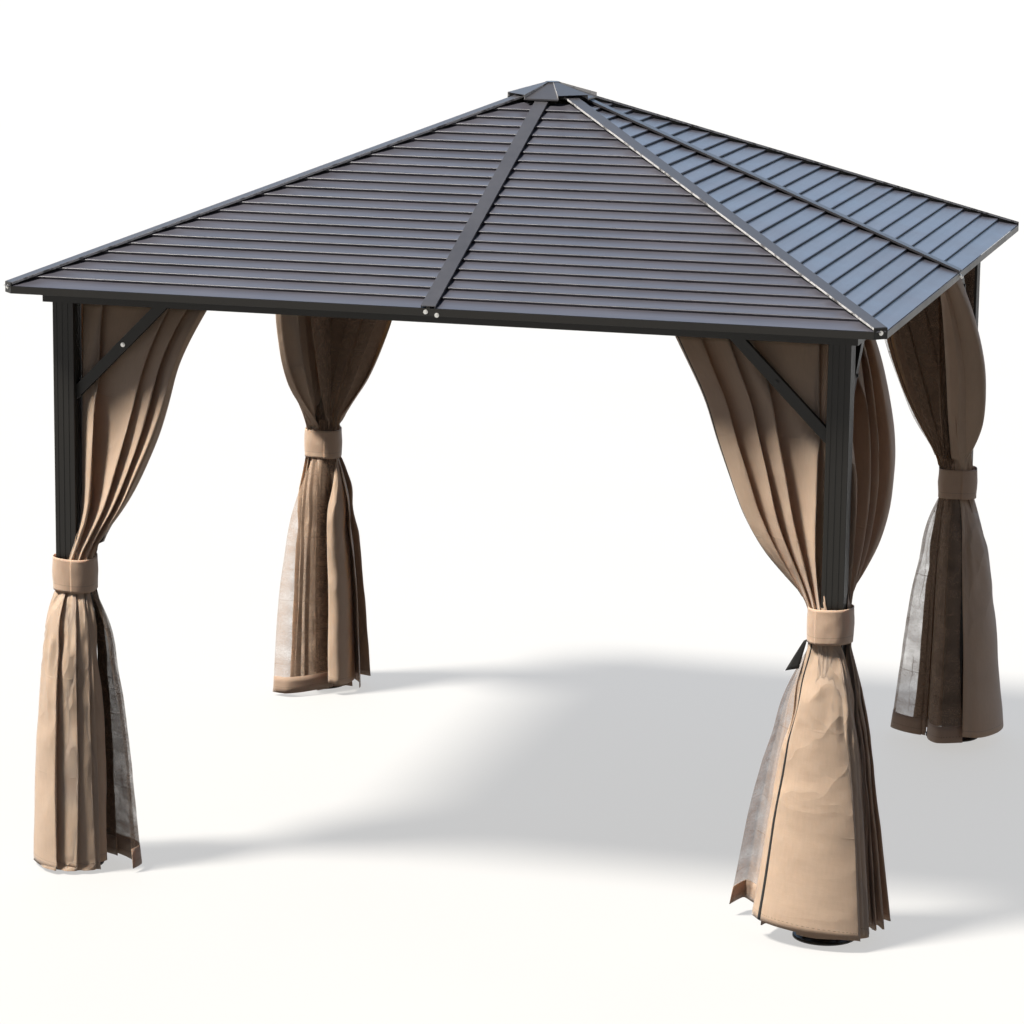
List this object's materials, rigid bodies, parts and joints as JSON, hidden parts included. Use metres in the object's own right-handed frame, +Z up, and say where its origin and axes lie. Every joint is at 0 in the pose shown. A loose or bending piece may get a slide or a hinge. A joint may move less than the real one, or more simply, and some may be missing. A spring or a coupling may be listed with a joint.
{
  "type": "gazebo",
  "caption": "Hardtop garden gazebo with a slatted hip roof, vented cap, dark metal frame, and tied taupe curtains with nets.",
  "frame": {"origin": "on the ground at the middle of the four posts", "axes": "+X to the right along the front eave, +Y to the rear, +Z up"},
  "size_m": [3, 3, 2.666],
  "materials": {
    "frame": "satin",
    "rail": "satin",
    "roof_trim": "satin",
    "roof_slats": "satin",
    "curtain": "matte",
    "net": "matte"
  },
  "bodies": {
    "root": {"post_front_right": "frame", "base_plate_front_right": "frame", "post_rear_right": "frame", "base_plate_rear_right": "frame", "post_rear_left": "frame", "base_plate_rear_left": "frame", "post_front_left": "frame", "base_plate_front_left": "frame", "beam_front": "frame", "beam_right": "frame", "beam_rear": "frame", "beam_left": "frame", "corner_braces": "frame", "curtain_rails": "rail", "mid_rafter_front": "frame", "mid_rafter_right": "frame", "mid_rafter_rear": "frame", "mid_rafter_left": "frame", "hip_rafter_front_right": "frame", "hip_rafter_rear_right": "frame", "hip_rafter_rear_left": "frame", "hip_rafter_front_left": "frame", "rafter_covers": "roof_trim", "roof_panel_front": "roof_slats", "roof_panel_right": "roof_slats", "roof_panel_rear": "roof_slats", "roof_panel_left": "roof_slats", "eave_trim_front": "roof_trim", "eave_trim_right": "roof_trim", "eave_trim_rear": "roof_trim", "eave_trim_left": "roof_trim", "crown_hub": "frame", "roof_cap": "roof_trim", "curtain_front_right": "curtain", "curtain_rear_right": "curtain", "curtain_rear_left": "curtain", "curtain_front_left": "curtain", "net_front_right": "net", "net_rear_right": "net", "net_rear_left": "net", "net_front_left": "net", "tieback_front_right": "curtain", "tieback_rear_right": "curtain", "tieback_rear_left": "curtain", "tieback_front_left": "curtain"}
  },
  "joints": []
}
